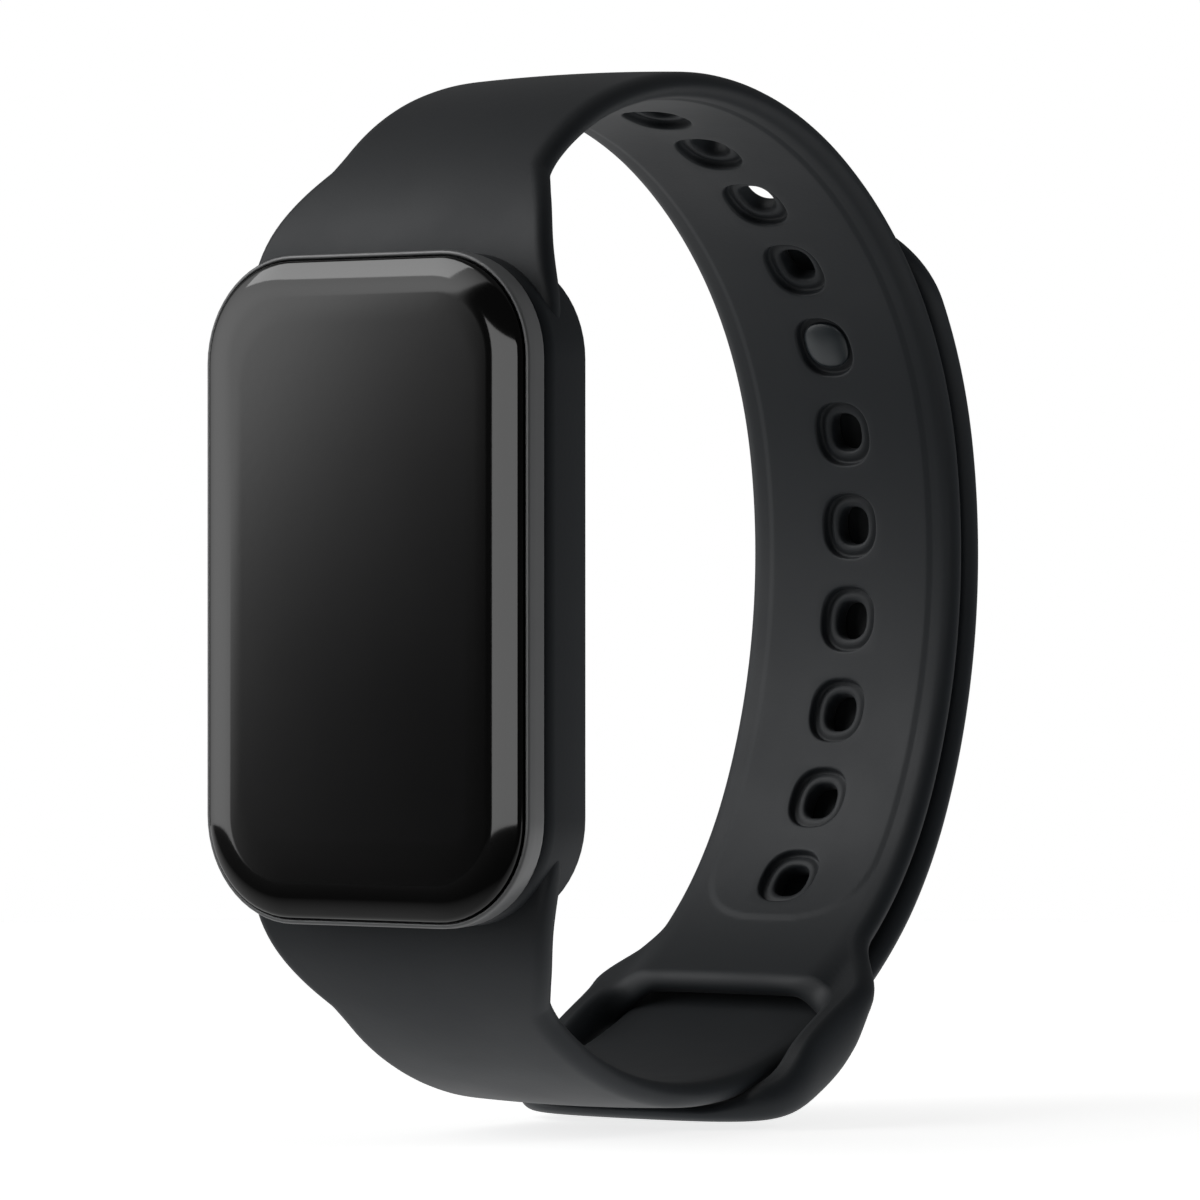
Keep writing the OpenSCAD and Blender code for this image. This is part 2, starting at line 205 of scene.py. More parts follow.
def make_piece(name, patches, material):
    """Joins grids of points (rows x columns x 3, millimetres) into one mesh object. Each patch is a grid, or a grid
    with a mask of the quads to keep. Equal points are merged and faces are turned outwards."""
    points, quads, start = [], [], 0
    for patch in patches:
        grid, keep = patch if isinstance(patch, tuple) else (patch, None)
        rows, cols = grid.shape[:2]
        index = start + np.arange(rows * cols).reshape(rows, cols)
        quad = np.stack([index[:-1, :-1], index[1:, :-1], index[1:, 1:], index[:-1, 1:]], axis=-1)
        quads.append(quad[keep] if keep is not None else quad.reshape(-1, 4))
        points.append(grid.reshape(-1, 3))
        start += rows * cols
    mesh = bpy.data.meshes.new(name)
    mesh.from_pydata(np.concatenate(points) * MM, [], np.concatenate(quads))
    shape = bmesh.new()
    shape.from_mesh(mesh)
    bmesh.ops.remove_doubles(shape, verts=shape.verts, dist=2e-6)
    bmesh.ops.dissolve_degenerate(shape, edges=shape.edges, dist=1e-7)
    bmesh.ops.recalc_face_normals(shape, faces=shape.faces)
    shape.to_mesh(mesh)
    shape.free()
    mesh.polygons.foreach_set("use_smooth", np.ones(len(mesh.polygons), bool))
    mesh.materials.append(material)
    piece = bpy.data.objects.new(name, mesh)
    bpy.context.scene.collection.objects.link(piece)
    return piece


def rounded_box(half_w, half_h, radius, count=16):
    """Closed outline of a rounded rectangle: a quarter circle at each corner, joined by straight sides."""
    corners = []
    for k, (sx, sz) in enumerate(((1, 1), (-1, 1), (-1, -1), (1, -1))):
        angle = np.linspace(0, math.pi / 2, count) + k * math.pi / 2
        corners.append(np.stack([sx * (half_w - radius) + radius * np.cos(angle),
                                 sz * (half_h - radius) + radius * np.sin(angle)], axis=-1))
    side = np.linspace(0, 1, 10)[1:-1, None]
    line = np.concatenate([part for corner, following in zip(corners, corners[1:] + corners[:1])
                           for part in (corner, corner[-1] + (following[0] - corner[-1]) * side)])
    return np.concatenate([line, line[:1]])


def carried(profile, half_w, half_h, radius):
    """A profile of (inset, y) points carried round a rounded rectangle; each inset shrinks the outline evenly."""
    rings = [rounded_box(half_w - inset, half_h - inset, max(radius - inset, 0.05)) for inset, _ in profile]
    return np.stack([np.stack([ring[:, 0], np.full(len(ring), y), ring[:, 1]], axis=-1)
                     for ring, (_, y) in zip(rings, profile)], axis=1)


def between(ring, target, steps):
    """Rows that go evenly from a ring of points to another ring, or to one point that closes it."""
    share = np.linspace(0, 1, steps)[None, :, None]
    return ring[:, None, :] * (1 - share) + np.broadcast_to(target, ring.shape)[:, None, :] * share


def arc_points(centre, radius, start, end, count=8):
    """(inset, y) points along a circular arc, angles in degrees."""
    angle = np.radians(np.linspace(start, end, count))
    return [(centre[0] + radius * math.cos(a), centre[1] + radius * math.sin(a)) for a in angle]


# ---------------------------------------------------------------- strap

WINDOW = 3.0                       # half the square that each hole is cut out of
WINDOW_STEPS, SIDE_STEPS = 24, 20
EDGE_TURN = np.linspace(0, math.pi, 15)
ROOT_FROM, ROOT_TO = -4.0, 8.0     # run over which the rows slide on to the cradle's corner
PANEL_HALF, PANEL_STEP = 6.5, 0.15
PANEL_LAST, PANEL_REACH, PANEL_POWER = 97.5, 6.6, 2.6
UPPER_FLAT, LOWER_FLAT = (47, 130), (40, 50)     # runs where the crown is nearly flat
TAIL_END = 107.5
LOOP_JOIN, LOOP_TAIL, LOOP_END = 103.6, 117.6, 123.9
SLOT_MID, SLOT_HALF, SLOT_SIDE, SLOT_POWER = 115.8, 4.7, 8.62, 5

# The loop's bar: run of the strap, distance outside the strap's middle line, and half thickness
LOOP_BAR = ((100.0, 0.0, 0.92), (103.6, 0.0, 0.92), (107.0, 0.1, 0.95), (109.7, 0.49, 1.15), (112.7, 1.68, 1.85),
            (117.1, 3.3, 1.55), (120.5, 4.6, 0.8), (124.0, 4.65, 0.62), (128.0, 4.65, 0.62))


def half_width(sizes, s):
    """Half the strap's width: wide at its root, then even. The keeper loop's outline widens on its own."""
    root = (sizes.root_half - sizes.strap_half) * (1 - smooth(-4, 10, s))
    return np.minimum(sizes.strap_half + root, 12.1)


def outer_face(sizes, x, s, flat):
    """Height of the outer face: a parabola across the strap on top of half the thickness. It is 0.24 mm high, and
    falls to about a seventh of that between the two runs of flat."""
    half = np.maximum(half_width(sizes, s), np.abs(x))
    low = smooth(flat[0] - 6, flat[0], s) * (1 - smooth(flat[1], flat[1] + 5, s))
    return sizes.thickness / 2 - 0.1 + 0.24 * (1 - 0.85 * low) * (1 - (x / half) ** 2)


def inner_face(sizes, x, s, panel):
    """Height of the inner face: thick at the root, with a slightly raised flat panel where the holes are."""
    neck = 0.25 * (1 - smooth(0, 12, s))
    beside = smooth(PANEL_HALF - PANEL_STEP, PANEL_HALF + PANEL_STEP, np.abs(x))
    rounded = 2.6 * np.clip((np.abs(x) - PANEL_HALF) / (sizes.strap_half - PANEL_HALF), 0, 1) ** 2
    fall = 1 - (1 - smooth(0, 1, panel(x, s))) * (1 - beside)
    return -sizes.thickness / 2 - neck + 0.1 * (fall + rounded)


def panel_end(x, s):
    """0 on the raised panel and 1 past its rounded end, which is a half superellipse below the last hole."""
    past = np.clip(s - PANEL_LAST, 0, None) / PANEL_REACH
    size = (past ** PANEL_POWER + (np.abs(x) / PANEL_HALF) ** PANEL_POWER) ** (1 / PANEL_POWER)
    return smooth(0.975, 1.025, np.where(s > PANEL_LAST, size, 0)) + (1 - smooth(20, 26, s))


def no_panel(x, s):
    """A face without a panel."""
    return np.ones_like(x + s)


def columns(sizes, half):
    """Places across a face, from -x to +x: even steps in the middle and scaled ones out to the rounded edge."""
    middle = np.linspace(-WINDOW, WINDOW, WINDOW_STEPS + 1)
    share = np.linspace(0, 1, SIDE_STEPS + 1)[1:]
    flat = half[:, None] - sizes.edge
    right = WINDOW + (flat - WINDOW) * share[None, :]
    rows = len(half)
    return np.concatenate([-right[:, ::-1], np.tile(middle, (rows, 1)), right], axis=1)


def root_shift(s, x):
    """Slides the first rows so that the strap starts on the cradle's rounded corner instead of straight across."""
    flat_x, flat_z, radius = 5.9, 14.35, 6.2
    corner = np.clip(np.abs(x) - flat_x, 0, radius - 0.01)
    start = flat_z + np.sqrt(radius ** 2 - corner ** 2) - PATH_Z
    share = np.clip((s - ROOT_FROM) / (ROOT_TO - ROOT_FROM), 0, 1)
    ease = share * share * (3 - 2 * share) * 0.35 + share * 0.65
    return np.where(s < ROOT_TO, start + (ROOT_TO - start) * ease, s)


def section_rows(sizes, run, s, half, inner, outer):
    """Inner face, right edge, outer face and left edge of the strap as four grids over the same rows s.
    Each edge is half an ellipse, as deep as the edge rounding and as tall as the strap is thick there."""
    x = columns(sizes, half)
    rows = root_shift(s[:, None] + 0 * x, x)
    low, high = inner(x, rows), outer(x, rows)
    ex = (half - sizes.edge)[:, None] + sizes.edge * np.sin(EDGE_TURN)[None, :]
    es = root_shift(s[:, None] + 0 * ex, ex)
    mid = (low[:, -1] + high[:, -1])[:, None] / 2
    tall = (high[:, -1] - low[:, -1])[:, None] / 2
    ed = mid - tall * np.cos(EDGE_TURN)[None, :]
    return {"inner": run.place(x, rows, low), "right": run.place(ex, es, ed),
            "outer": run.place(x, rows, high), "left": run.place(-ex, es, ed), "x": x}


def squircle(half_x, half_s, angle, power):
    """Point of a superellipse at an angle from its middle, on the ray at that angle."""
    c, s = np.abs(np.cos(angle)), np.abs(np.sin(angle))
    reach = ((c / half_x) ** power + (s / half_s) ** power) ** (-1 / power)
    return reach * np.cos(angle), reach * np.sin(angle)


def window_angles():
    """Angles of the points round a square hole window, in order, with the first repeated at the end."""
    side = np.linspace(-WINDOW, WINDOW, WINDOW_STEPS + 1)[:-1]
    x = np.concatenate([side, np.full(WINDOW_STEPS, WINDOW), -side, np.full(WINDOW_STEPS, -WINDOW)])
    s = np.concatenate([np.full(WINDOW_STEPS, -WINDOW), side, np.full(WINDOW_STEPS, WINDOW), -side])
    x, s = np.append(x, x[0]), np.append(s, s[0])
    return x, s, np.arctan2(s, x)


def hole_patch(sizes, run, s_hole, inner, outer):
    """One adjustment hole: rings from the window's square on the inner face over a soft lip, down the recess, through
    the hole and out over a small lip to the square on the outer face. Both are a little longer along the strap."""
    wx, ws, angle = window_angles()

    # (growth of the outline, depth below its face): the recess and the hole from the inner face, then the outer lip
    lip = [(0.2, 0.0), (0.1, 0.012), (0.04, 0.05), (0.0, 0.13), (-0.01, 0.3), (-0.03, 0.44), (-0.08, 0.54),
           (-0.16, 0.58), (-0.28, 0.56), (-0.42, 0.51), (-0.56, 0.48), (-0.68, 0.48), (-0.78, 0.5)]
    neck = [(0.1, 0.53), (0.04, 0.6), (0.0, 0.74), (-0.02, 1.0), (-0.02, 1.2)]
    out = [(0.0, 0.3), (0.05, 0.12), (0.14, 0.03), (0.3, 0.0)]

    def recess_ring(grow):
        half = sizes.recess_half + grow
        return squircle(half, half + 0.16, angle, 2.45)

    def hole_ring(grow):
        half = sizes.hole_half + grow
        return squircle(half, half + 0.14, angle, 2.5)

    near_x, near_s = recess_ring(0.4)
    far_x, far_s = hole_ring(out[-1][0])
    rings = [(wx + (near_x - wx) * share, ws + (near_s - ws) * share, inner, 0.0) for share in (0.0, 0.5)]
    rings += [(*recess_ring(grow), inner, depth) for grow, depth in lip]
    rings += [(*hole_ring(grow), inner, depth) for grow, depth in neck]
    rings += [(*hole_ring(grow), outer, -depth) for grow, depth in out]
    rings += [(far_x + (wx - far_x) * share, far_s + (ws - far_s) * share, outer, 0.0) for share in (0.5, 1.0)]
    return np.stack([run.place(x, s + s_hole, face(x, s + s_hole) + depth) for x, s, face, depth in rings], axis=1)


def loop_outline(sizes, count):
    """Side of the strap from the joining row, out to the loop's full width and round its end to the other side."""
    widen_s = np.linspace(LOOP_JOIN, LOOP_TAIL, count)
    widen_x = sizes.strap_half + (sizes.loop_half - sizes.strap_half) * smooth(104.6, 110.6, widen_s)
    turn = np.linspace(0, math.pi / 2, count)[1:]
    power = 2 / 2.7
    cap_x = sizes.loop_half * np.cos(turn) ** power
    cap_s = LOOP_TAIL + (LOOP_END - LOOP_TAIL) * np.sin(turn) ** power
    x, s = np.concatenate([widen_x, cap_x]), np.concatenate([widen_s, cap_s])
    return np.concatenate([x, -x[-2::-1]]), np.concatenate([s, s[-2::-1]])


def through(points, column, s):
    """A smooth curve through points: a cubic on each stretch, whose slope at a point is that of its neighbours."""
    knots = np.array(points)
    at, value = knots[:, 0], knots[:, column]
    slope = np.gradient(value, at)
    k = np.clip(np.searchsorted(at, s) - 1, 0, len(at) - 2)
    wide = at[k + 1] - at[k]
    u = np.clip((s - at[k]) / wide, 0, 1)
    return ((1 + 2 * u) * (1 - u) ** 2 * value[k] + u * (1 - u) ** 2 * wide * slope[k]
            + u * u * (3 - 2 * u) * value[k + 1] + u * u * (u - 1) * wide * slope[k + 1])


def loop_share(x, s):
    """1 on the loop's side bars and end bar, and 0 on the strap inside them, down to the slot's upper lip."""
    return 1 - (1 - smooth(6.4, 9.2, np.abs(x))) * (1 - smooth(113, 118, s))


def loop_corner(x, s):
    """Extra thickness, on the wrist side only, where the side bars turn into the end bar."""
    return 0.64 * smooth(6.0, 9.4, np.abs(x)) * smooth(111, 118, s) * (1 - smooth(120.8, 124, s))


def loop_drop(x, s):
    """How far the loop's bars lie outside the strap's own middle line, so that the tail can pass through."""
    return through(LOOP_BAR, 1, s) * loop_share(x, s) - loop_corner(x, s)


def loop_thick(x, s):
    """How much thicker, on each side, the loop's bars are than the strap."""
    return (through(LOOP_BAR, 2, s) - 0.92) * loop_share(x, s) + loop_corner(x, s)


def loop_patches(sizes, run, top_x, inner, outer):
    """The keeper loop: a ring of rows on the rays from the slot's middle, over the inner face, round the slot's
    rounded wall and back along the outer face, and a rounded strip along its outline."""
    line_x, line_s = loop_outline(sizes, 34)
    step_x, step_s = np.gradient(line_x), np.gradient(line_s)
    size = np.hypot(step_x, step_s)
    nx, ns = -step_s / size, step_x / size
    nx[0], ns[0], nx[-1], ns[-1] = -1, 0, 1, 0
    bar = 1.0                      # rounding of the loop's own edges
    inset = sizes.edge * smooth(112, 106, line_s) + bar * smooth(106, 112, line_s)
    base_x, base_s = line_x + nx * inset, line_s + ns * inset
    low, high = inner(base_x, base_s), outer(base_x, base_s)
    lift = inset[:, None] * (1 - np.sin(EDGE_TURN)[None, :])
    px, ps = line_x[:, None] + nx[:, None] * lift, line_s[:, None] + ns[:, None] * lift
    height = (low + high)[:, None] / 2 - (high - low)[:, None] / 2 * np.cos(EDGE_TURN)[None, :]
    strip = run.place(px, ps, height)

    ring_x = np.concatenate([top_x, base_x[1:], [top_x[0]]])
    ring_s = np.concatenate([np.full(len(top_x), LOOP_JOIN), base_s[1:], [LOOP_JOIN]])
    ray = np.arctan2(ring_s - SLOT_MID, ring_x)
    share = np.linspace(0, 1, 25)
    wall = np.linspace(0, math.pi, 13)
    grids = []
    for face in (inner, outer):
        sx, ss = squircle(SLOT_SIDE + bar, SLOT_HALF + bar, ray, SLOT_POWER)
        x = ring_x[:, None] + (sx - ring_x)[:, None] * share
        s = ring_s[:, None] + (ss + SLOT_MID - ring_s)[:, None] * share
        grids.append((x, s, face(x, s)))
    (x, s, low), (_, _, high) = grids
    lift = bar * (1 - np.sin(wall))[None, :]
    wx, ws = squircle(SLOT_SIDE + lift, SLOT_HALF + lift, ray[:, None], SLOT_POWER)
    mid, tall = (low[:, -1:] + high[:, -1:]) / 2, (high[:, -1:] - low[:, -1:]) / 2
    return [strip, run.place(x, s, low), run.place(wx, ws + SLOT_MID, mid - tall * np.cos(wall)[None, :]),
            run.place(x, s, high)]


def hole_rows(sizes):
    """Rows of the hole strap: even steps to the first window, then the steps of each window and two in each gap."""
    holes = sizes.first_hole - sizes.pitch * np.arange(sizes.hole_count)[::-1]
    rows = [np.linspace(ROOT_FROM, holes[0] - WINDOW, 90)[:-1]]
    for k, hole in enumerate(holes):
        rows.append(hole + np.linspace(-WINDOW, WINDOW, WINDOW_STEPS + 1))
        if k + 1 < len(holes):
            rows.append(np.linspace(hole + WINDOW, holes[k + 1] - WINDOW, 4)[1:-1])
    rows.append(np.array([sizes.first_hole + WINDOW + 0.25, LOOP_JOIN]))
    return np.concatenate(rows), holes


def hole_strap_patches(sizes):
    """All of the upper strap: its four faces with a window cut for each hole, the holes and the keeper loop."""
    s, holes = hole_rows(sizes)
    half = half_width(sizes, s)

    def outer(x, s):
        return outer_face(sizes, x, s, UPPER_FLAT) + loop_drop(x, s) + loop_thick(x, s)

    def inner(x, s):
        return inner_face(sizes, x, s, panel_end) + loop_drop(x, s) - loop_thick(x, s)

    grid = section_rows(sizes, UPPER, s, half, inner, outer)
    keep = np.ones((len(s) - 1, grid["x"].shape[1] - 1), bool)
    cut = np.arange(SIDE_STEPS, SIDE_STEPS + WINDOW_STEPS)
    middle = (s[:-1] + s[1:]) / 2
    for hole in holes:
        keep[np.ix_(np.abs(middle - hole) < WINDOW, cut)] = False
    patches = [(grid["inner"], keep), (grid["outer"], keep), grid["right"], grid["left"]]
    patches += [hole_patch(sizes, UPPER, hole, inner, outer) for hole in holes]
    return patches + loop_patches(sizes, UPPER, grid["x"][-1], inner, outer)


def tail_patches(sizes):
    """The lower strap and its tail in one sweep, ending in a half-round tip: half of the last section turned about
    its middle."""
    tip = TAIL_END - sizes.strap_half
    s = np.concatenate([np.linspace(ROOT_FROM, 12, 50)[:-1], np.arange(12, tip - 0.2, 0.5), [tip]])
    half = half_width(sizes, s)

    def outer(x, s):
        return outer_face(sizes, x, s, LOWER_FLAT)

    def inner(x, s):
        return inner_face(sizes, x, s, no_panel)

    grid = section_rows(sizes, LOWER, s, half, inner, outer)
    x = grid["x"][-1]
    right = x[x >= -1e-9]
    flat = sizes.strap_half - sizes.edge
    low, high = inner(right, tip + 0 * right), outer(right, tip + 0 * right)
    edge_d = (low[-1] + high[-1]) / 2 - (high[-1] - low[-1]) / 2 * np.cos(EDGE_TURN)
    reach = np.concatenate([right, flat + sizes.edge * np.sin(EDGE_TURN)[1:-1], right[::-1]])
    height = np.concatenate([low, edge_d[1:-1], high[::-1]])
    turn = np.linspace(0, math.pi, 49)[:, None]
    cap = LOWER.place(reach * np.cos(turn), tip + reach * np.sin(turn), height + 0 * turn)
    return [grid["inner"], grid["outer"], grid["right"], grid["left"], cap]


def stud_patches(sizes):
    """The stud: a domed head with a soft square outline, its neck and post, and a flush cap on the outer face."""
    s_stud = sizes.first_hole - STUD_HOLE * sizes.pitch
    angle = np.linspace(0, 2 * math.pi, 73)
    head, dome = 1.72, 0.34
    top = -sizes.thickness / 2 - 0.08
    under = -sizes.thickness / 2 + 0.4

    # (half size, power of the outline, height), from the head's middle to the cap's middle
    rings = [(head * share, 2.35,
              top + dome * share ** 2 + (under - 0.04 - top - dome) * (1 - math.sqrt(1 - share ** 8)))
             for share in np.linspace(0.03, 1, 24)]
    rings += [(head - 0.03, 2.5, under), (head - 0.2, 2.5, under + 0.02), (1.1, 2.5, under + 0.03)]
    out = sizes.thickness * 1.5 + sizes.layer_gap + 0.33
    rings += [(1.05, 2.2, under + 0.3), (1.05, 2.0, out - 0.8), (2.5, 2.0, out - 0.75), (2.6, 2.0, out - 0.6),
              (2.6, 2.0, out - 0.08), (2.52, 2.0, out - 0.01), (2.4, 2.0, out), (1.9, 2.0, out - 0.03),
              (1.7, 2.0, out - 0.12), (1.0, 2.0, out - 0.14), (0.02, 2.0, out - 0.15)]
    grid = []
    for half, power, height in rings:
        x, s = squircle(half, half, angle, power)
        grid.append(UPPER.place(x, s + s_stud, height + 0 * x))
    first, last = grid[0].mean(axis=0), grid[-1].mean(axis=0)
    grid = [np.tile(first, (len(angle), 1))] + grid + [np.tile(last, (len(angle), 1))]
    return [np.stack(grid, axis=1)]


def cradle_patches():
    """The cradle: a rounded wall round the module's waist, as a closed profile carried round a rounded box."""
    front, back = CRADLE_LOW[1], CRADLE_HIGH[1]
    wall, soft, small = 1.14, 0.95, 0.35
    profile = [(wall, front + 0.2)]
    profile += arc_points((wall - 0.2, front + 0.2), 0.2, 0, -90, 4)
    profile += arc_points((soft, front + soft), soft, -90, -180, 10)
    profile += arc_points((small, back - small), small, 180, 90, 6)
    profile += arc_points((wall - small, back - small), small, 90, 0, 6)
    profile.append(profile[0])
    return [carried(profile, CRADLE_HIGH[0], CRADLE_HIGH[2], 6.7)]


def rib_patches():
    """The rib inside the cradle: a rounded bead carried round the module's waist, in its groove."""
    low, high = node_box("cradle_lip")
    middle = (low[1] + high[1]) / 2
    bead = arc_points((0.02, middle), 0.33, -90, 90, 9)
    profile = [(-0.03, middle - 0.45)] + bead + [(-0.03, middle + 0.45), (-0.03, middle - 0.45)]
    return [carried(profile, high[0], high[2], 5.55)]


# ---------------------------------------------------------------- module

def glass_patches(sizes):
    """The cover glass: flat in the middle, then a circular arc down to a thin upright side with a small round."""
    half_w, half_h = GLASS_HIGH[0], GLASS_HIGH[2]
    front, back = GLASS_LOW[1], GLASS_HIGH[1]
    curve, drop = sizes.glass_curve, 0.66      # width and depth of the curved edge
    bend = (curve ** 2 + drop ** 2) / (2 * drop)
    edge = [(u, front + bend - math.sqrt(bend ** 2 - (curve - u) ** 2)) for u in np.linspace(curve, 0.14, 18)]
    edge += [(0.06, front + drop + 0.01), (0.015, front + drop + 0.07), (0.0, front + drop + 0.16),
             (0.02, back - 0.12), (0.14, back)]
    body = carried(edge, half_w, half_h, sizes.rim_radius - 0.4)
    return [body, between(body[:, 0], (0, front, 0), 12), between(body[:, -1], (0, back, 0), 6)]


def rim_patches(sizes):
    """The housing: soft-edged rim round the glass, waist with the groove for the cradle's lip, and inner wall."""
    front, back = RIM_LOW[1], RIM_HIGH[1]
    rim_back, seat = front + 2.0, front + 0.7
    ledge, waist, wall = 2.6, 1.4, 1.0
    groove, half_groove = GLASS_LOW[1] + 4.6, 0.6
    profile = [(ledge, seat), (0.34, seat), (0.3, seat - 0.05), (0.3, front + 0.12)]
    profile += arc_points((0.2, front + 0.1), 0.1, 0, -90, 4)
    profile += arc_points((0.2, front + 0.2), 0.2, -90, -180, 5)
    profile += [(0.0, front + 0.8), (0.04, front + 1.2)]
    profile += arc_points((0.54, rim_back - 0.5), 0.5, 180, 90, 7)
    profile += [(waist - 0.1, rim_back), (waist, rim_back + 0.1), (waist, groove - half_groove - 0.02),
                (waist + 0.4, groove - half_groove), (waist + 0.4, groove + half_groove),
                (waist, groove + half_groove + 0.02), (waist, back), (waist + wall, back),
                (waist + wall, seat + 0.6), (ledge, seat)]
    return [carried(profile, RIM_HIGH[0], RIM_HIGH[2], sizes.rim_radius)]


def cover_patches(sizes):
    """The back cover: a flange on the waist, a raised pad with a soft edge, and the round hole of the sensor."""
    y0, y1 = GLASS_LOW[1] + 7.0, GLASS_LOW[1] + 8.6
    half_w, half_h = COVER_HIGH[0], COVER_HIGH[2]
    soft = 0.95
    profile = [(2.0, y0), (0.2, y0), (0.0, y0 + 0.12), (0.0, y0 + 0.4), (0.15, y0 + 0.5)]
    profile += [(0.25, y0 + 0.52), (0.25, y1 - soft)]
    profile += arc_points((0.25 + soft, y1 - soft), soft, 180, 90, 12)
    body = carried(profile, half_w, half_h, sizes.rim_radius - 1.4)
    first, last = body[:, 0], body[:, -1]
    angle = np.arctan2(last[:, 2], last[:, 0])
    hole = np.stack([np.stack([reach * np.cos(angle), 0 * angle + y1 - depth, reach * np.sin(angle)], axis=-1)
                     for reach, depth in ((5.25, 0.0), (5.14, 0.04), (5.06, 0.14), (5.04, 0.3), (5.02, 1.6))], axis=1)
    return [body, between(last, hole[:, 0], 14), hole, between(hole[:, -1], first, 14)]


def lens_patches():
    """The sensor window: a shallow dome turned about the middle of the back, with a small rounded rim."""
    low, high = node_box("sensor_window")
    radius, top, edge = high[0] - 0.03, high[1], 0.25
    turn = np.linspace(0.2, 1.57, 6)
    reach = np.concatenate([np.linspace(0, radius - edge, 20), radius - edge + edge * np.sin(turn)])
    dome = top - (reach / radius) ** 2 * 0.75
    dome[20:] -= edge * (1 - np.cos(turn))
    reach, dome = np.append(reach, [radius, 0.0]), np.append(dome, [low[1], low[1]])
    angle = np.linspace(0, 2 * math.pi, 97)[:, None]
    return [np.stack([reach * np.cos(angle), dome + 0 * angle, reach * np.sin(angle)], axis=-1)]


# ---------------------------------------------------------------- materials

def add_node(tree, kind, inputs=None, **settings):
    """Adds a node with its settings; each input is a value, or another node's output socket to link."""
    made = tree.nodes.new(kind)
    for key, value in settings.items():
        setattr(made, key, value)
    for key, value in (inputs or {}).items():
        if isinstance(value, bpy.types.NodeSocket):
            tree.links.new(value, made.inputs[key])
        else:
            made.inputs[key].default_value = value
    return made


def compute(tree, operation, a, b=0.0):
    """The output of a math node that works on a and b."""
    return add_node(tree, "ShaderNodeMath", {0: a, 1: b}, operation=operation).outputs[0]


def finish(name, rgb, roughness, patch_mm, change, grain_mm, grain_depth_mm, **sockets):
    """A material whose colour and roughness drift by change over soft patches patch_mm across, with a fine grain
    of grain_mm that is grain_depth_mm deep. Returns it with its tree, shader, colour mix and Object coordinates."""
    material = bpy.data.materials.new(name)
    material.use_nodes = True
    tree = material.node_tree
    tree.nodes.clear()
    place = add_node(tree, "ShaderNodeTexCoord").outputs["Object"]
    patches = add_node(tree, "ShaderNodeTexNoise", {"Vector": place, "Scale": 1 / (patch_mm * MM), "Detail": 3.0})
    dark = (*[c * (1 - change) for c in rgb], 1)
    pale = (*[min(c * (1 + change), 1) for c in rgb], 1)
    shade = add_node(tree, "ShaderNodeMix", {0: patches.outputs["Fac"], 6: dark, 7: pale}, data_type="RGBA")
    dull = add_node(tree, "ShaderNodeMapRange", {"Value": patches.outputs["Fac"], "From Min": 0.3, "From Max": 0.7,
                                                 "To Min": roughness * (1 - change),
                                                 "To Max": min(roughness * (1 + change), 1.0)})
    grain = add_node(tree, "ShaderNodeTexNoise", {"Vector": place, "Scale": 1 / (grain_mm * MM), "Detail": 2.0})
    bump = add_node(tree, "ShaderNodeBump", {"Height": grain.outputs["Fac"], "Distance": grain_depth_mm * MM,
                                             "Strength": 1.0})
    values = {"Base Color": shade.outputs[2], "Roughness": dull.outputs["Result"], "Normal": bump.outputs["Normal"]}
    values.update({key.replace("_", " "): value for key, value in sockets.items()})
    shader = add_node(tree, "ShaderNodeBsdfPrincipled", values)
    add_node(tree, "ShaderNodeOutputMaterial", {"Surface": shader.outputs[0]})
    return material, tree, shader, shade.outputs[2], place


def silicone_material(colours):
    """Compression-moulded silicone rubber, dyed charcoal: a soft matte skin with a broad, dull sheen along rounded
    edges and the faint grain of a blasted mould (drawn at 0.3 mm, coarser than real, so that it shows)."""
    return finish("moulded_silicone", tuple(colours.silicone), 0.56, 7, 0.07, 0.3, 0.006, IOR=1.36,
                  Sheen_Weight=0.05, Sheen_Roughness=0.5)[0]


def stud_material(colours):
    """Injection-moulded hard plastic, polished: smoother than the strap, so that its dome shows a clear highlight."""
    return finish("polished_hard_plastic", tuple(colours.stud), 0.36, 3, 0.05, 0.3, 0.002, IOR=1.5)[0]


def glass_material(colours):
    """Chemically strengthened cover glass, printed black behind: deep black with clear reflections, and the unlit
    display a shade paler than the printed border. The display is a rounded box measured from its own middle."""
    material, tree, shader, colour_out, place = finish("black_cover_glass", tuple(colours.glass), 0.07, 12, 0.1, 0.6,
                                                       0.0002, IOR=1.52)
    low, high = node_box("display_panel")
    corner, blur = 1.3 * MM, 0.1 * MM
    parts = add_node(tree, "ShaderNodeSeparateXYZ", {"Vector": place})
    reach = []
    for axis, middle, half in (("X", -0.3 * MM, 8.85 * MM), ("Z", (low[2] + high[2]) / 2 * MM, 16.45 * MM)):
        off = compute(tree, "ABSOLUTE", compute(tree, "SUBTRACT", parts.outputs[axis], middle))
        reach.append(compute(tree, "MAXIMUM", compute(tree, "SUBTRACT", off, half - corner)))
    both = add_node(tree, "ShaderNodeCombineXYZ", {"X": reach[0], "Y": reach[1]})
    distance = add_node(tree, "ShaderNodeVectorMath", {0: both.outputs[0]}, operation="LENGTH")
    inside = add_node(tree, "ShaderNodeMapRange", {"Value": distance.outputs["Value"], "From Min": corner - blur,
                                                   "From Max": corner + blur, "To Min": 1.0, "To Max": 0.0})
    screen = add_node(tree, "ShaderNodeMix", {0: inside.outputs["Result"], 6: colour_out, 7: (*colours.display, 1)},
                      data_type="RGBA")
    tree.links.new(screen.outputs[2], shader.inputs["Base Color"])
    return material


def rim_material(colours):
    """Glass-filled polycarbonate with a satin moulded finish: a narrow grey rim that shows soft, wide highlights."""
    return finish("satin_polycarbonate", tuple(colours.rim), 0.36, 5, 0.06, 0.25, 0.002, IOR=1.58)[0]


